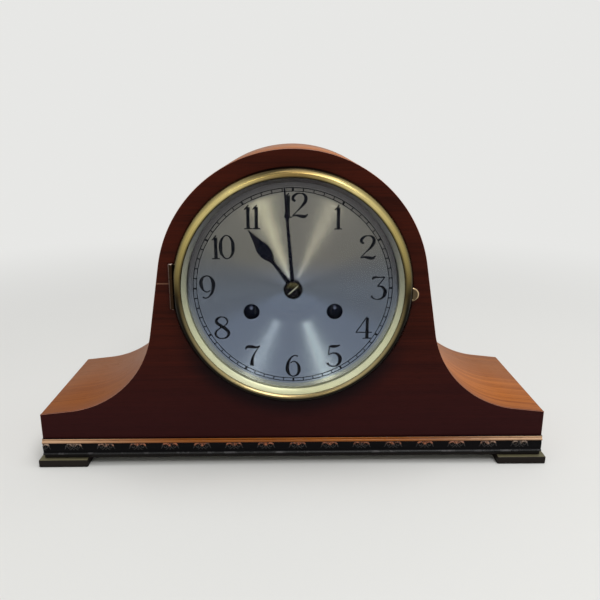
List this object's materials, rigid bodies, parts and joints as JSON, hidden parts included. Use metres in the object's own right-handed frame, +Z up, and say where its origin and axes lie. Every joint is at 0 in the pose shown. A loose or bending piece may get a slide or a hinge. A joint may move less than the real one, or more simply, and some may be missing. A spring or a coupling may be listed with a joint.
{
  "type": "mantel clock",
  "caption": "Striking mantel clock in a low arched wooden case with sweeping shoulders, hinged brass bezel, domed glass and a back door to its pendulum movement",
  "frame": {"origin": "under the middle of the bounding box, on the surface the clock stands on", "axes": "X to the right as the dial is read, Y to the back, Z up"},
  "size_m": [0.408, 0.136, 0.2486],
  "materials": {
    "face_wood": "dark polished mahogany with fine horizontal grain",
    "skin_wood": "glossy orange-brown veneer bent over the top",
    "carved_wood": "pressed moulding, dark in the hollows, worn on the crests",
    "stained_wood": "near-black stained wood, satin",
    "back_wood": "plain stained wood, dull",
    "brass": "polished brass, a little aged",
    "movement_brass": "brushed brass",
    "sight_brass": "pale plated brass, satin",
    "silvered": "silvered, brushed from the centre",
    "blued_steel": "dark blued steel",
    "steel": "plain steel",
    "iron": "black painted casting",
    "glass": "clear domed glass"
  },
  "bodies": {
    "case": {"front_panel": "face_wood", "top_skin": "skin_wood", "left_end": "skin_wood", "right_end": "skin_wood", "front_moulding": "carved_wood", "base_board": "stained_wood", "foot_front_left": "stained_wood", "foot_front_right": "stained_wood", "foot_back_left": "stained_wood", "foot_back_right": "stained_wood", "back_panel": "back_wood", "dial_pan": "brass", "bezel_hinge_leaf": "brass", "door_hinge_fixed_leaf": "brass", "pillar_lower_left": "brass", "pillar_lower_right": "brass", "pillar_upper_left": "brass", "pillar_upper_right": "brass", "suspension_cock": "brass", "movement_front_plate": "movement_brass", "movement_back_plate": "movement_brass", "dial": "silvered", "bezel_hinge_pin": "steel", "upper_mounting_bar": "steel", "lower_mounting_bar": "steel", "gong_coil": "steel", "gong_standard": "iron"},
    "bezel_door": {"bezel_ring": "brass", "bezel_glass": "glass", "sight_ring": "sight_brass", "bezel_thumb_piece": "brass"},
    "back_door": {"back_door": "back_wood", "door_hinge_moving_leaf": "brass"},
    "door_button": {"door_turn_button": "brass"},
    "minute_group": {"minute_hand": "blued_steel", "hand_nut": "brass", "cannon_pinion": "movement_brass"},
    "hour_group": {"hour_hand": "blued_steel", "hour_wheel": "movement_brass"},
    "minute_wheel": {"minute_wheel": "movement_brass"},
    "escape_wheel": {"escape_wheel": "movement_brass"},
    "third_wheel": {"third_wheel": "movement_brass"},
    "centre_wheel": {"centre_wheel": "movement_brass"},
    "intermediate_wheel": {"intermediate_wheel": "movement_brass"},
    "going_barrel": {"going_barrel": "movement_brass"},
    "going_winding_arbor": {"going_winding_arbor": "steel"},
    "going_click": {"going_click": "steel"},
    "pendulum": {"pendulum_rod": "steel", "pendulum_bob": "brass"},
    "anchor": {"anchor": "steel"},
    "fly": {"fly": "movement_brass"},
    "gathering_wheel": {"gathering_wheel": "movement_brass"},
    "pin_wheel": {"pin_wheel": "movement_brass"},
    "strike_barrel": {"strike_barrel": "movement_brass"},
    "strike_winding_arbor": {"strike_winding_arbor": "steel"},
    "strike_click": {"strike_click": "steel"},
    "hammer": {"hammer": "steel"}
  },
  "joints": [
    {"name": "bezel_hinge", "type": "hinge", "parent": "case", "child": "bezel_door", "pos_m": [-0.09, -0.05995, 0.1488], "axis": [0, 0, -1], "range_deg": [0, 120]},
    {"name": "back_door_hinge", "type": "hinge", "parent": "case", "child": "back_door", "pos_m": [0.072, 0.06625, 0.1], "axis": [0, 0, -1], "range_deg": [0, 110]},
    {"name": "turn_button_pivot", "type": "hinge", "parent": "case", "child": "door_button", "pos_m": [-0.077, 0.06445, 0.106], "axis": [0, 1, 0], "range_deg": [0, 90]},
    {"name": "minute_hand_turn", "type": "hinge", "parent": "case", "child": "minute_group", "pos_m": [0, -0.05775, 0.1458], "axis": [0, 1, 0], "continuous": true},
    {"name": "hour_hand_turn", "type": "hinge", "parent": "case", "child": "hour_group", "pos_m": [0, -0.056, 0.1458], "axis": [0, 1, 0], "continuous": true},
    {"name": "minute_wheel_turn", "type": "hinge", "parent": "case", "child": "minute_wheel", "pos_m": [0, -0.04875, 0.1338], "axis": [0, 1, 0], "continuous": true},
    {"name": "escape_wheel_turn", "type": "hinge", "parent": "case", "child": "escape_wheel", "pos_m": [0, -0.02075, 0.1718], "axis": [0, 1, 0], "continuous": true},
    {"name": "third_wheel_turn", "type": "hinge", "parent": "case", "child": "third_wheel", "pos_m": [-0.01508, -0.01375, 0.16266], "axis": [0, 1, 0], "continuous": true},
    {"name": "centre_wheel_turn", "type": "hinge", "parent": "case", "child": "centre_wheel", "pos_m": [0, -0.00875, 0.1458], "axis": [0, 1, 0], "continuous": true},
    {"name": "intermediate_wheel_turn", "type": "hinge", "parent": "case", "child": "intermediate_wheel", "pos_m": [0.02116, -0.01275, 0.15712], "axis": [0, 1, 0], "continuous": true},
    {"name": "going_barrel_turn", "type": "hinge", "parent": "case", "child": "going_barrel", "pos_m": [0.0316, -0.02875, 0.1274], "axis": [0, 1, 0], "continuous": true},
    {"name": "going_winding_turn", "type": "hinge", "parent": "case", "child": "going_winding_arbor", "pos_m": [0.0316, -0.04975, 0.1274], "axis": [0, 1, 0], "range_deg": [0, 2700]},
    {"name": "going_click_pivot", "type": "hinge", "parent": "case", "child": "going_click", "pos_m": [0.0386, -0.04725, 0.11528], "axis": [0, 1, 0], "range_deg": [0, 20]},
    {"name": "pendulum_swing", "type": "hinge", "parent": "case", "child": "pendulum", "pos_m": [0, 0.00325, 0.18548], "axis": [0, 1, 0], "range_deg": [-4, 4]},
    {"name": "anchor_rock", "type": "hinge", "parent": "case", "child": "anchor", "pos_m": [0, -0.02075, 0.18548], "axis": [0, 1, 0], "range_deg": [-4, 4]},
    {"name": "fly_turn", "type": "hinge", "parent": "case", "child": "fly", "pos_m": [-0.02672, -0.03175, 0.18717], "axis": [0, 1, 0], "continuous": true},
    {"name": "gathering_wheel_turn", "type": "hinge", "parent": "case", "child": "gathering_wheel", "pos_m": [-0.03374, -0.01875, 0.17501], "axis": [0, 1, 0], "continuous": true},
    {"name": "pin_wheel_turn", "type": "hinge", "parent": "case", "child": "pin_wheel", "pos_m": [-0.04002, -0.01175, 0.15775], "axis": [0, 1, 0], "continuous": true},
    {"name": "strike_barrel_turn", "type": "hinge", "parent": "case", "child": "strike_barrel", "pos_m": [-0.0316, -0.02875, 0.1274], "axis": [0, 1, 0], "continuous": true},
    {"name": "strike_winding_turn", "type": "hinge", "parent": "case", "child": "strike_winding_arbor", "pos_m": [-0.0316, -0.04975, 0.1274], "axis": [0, -1, 0], "range_deg": [0, 2700]},
    {"name": "strike_click_pivot", "type": "hinge", "parent": "case", "child": "strike_click", "pos_m": [-0.0386, -0.04725, 0.11528], "axis": [0, -1, 0], "range_deg": [0, 20]},
    {"name": "hammer_pivot", "type": "hinge", "parent": "case", "child": "hammer", "pos_m": [-0.052, -0.00075, 0.1738], "axis": [0, 1, 0], "range_deg": [0, 18]}
  ],
  "couplings": [
    {"joint": "hour_hand_turn", "follows": "minute_hand_turn", "ratio": 0.083333},
    {"joint": "minute_wheel_turn", "follows": "minute_hand_turn", "ratio": -0.33333},
    {"joint": "escape_wheel_turn", "follows": "centre_wheel_turn", "ratio": 132},
    {"joint": "third_wheel_turn", "follows": "centre_wheel_turn", "ratio": -12},
    {"joint": "intermediate_wheel_turn", "follows": "centre_wheel_turn", "ratio": -0.25},
    {"joint": "going_barrel_turn", "follows": "centre_wheel_turn", "ratio": 0.041667},
    {"joint": "fly_turn", "follows": "pin_wheel_turn", "ratio": 64},
    {"joint": "gathering_wheel_turn", "follows": "pin_wheel_turn", "ratio": -8},
    {"joint": "strike_barrel_turn", "follows": "pin_wheel_turn", "ratio": -0.16667},
    {"joint": "anchor_rock", "follows": "pendulum_swing", "ratio": 1}
  ]
}
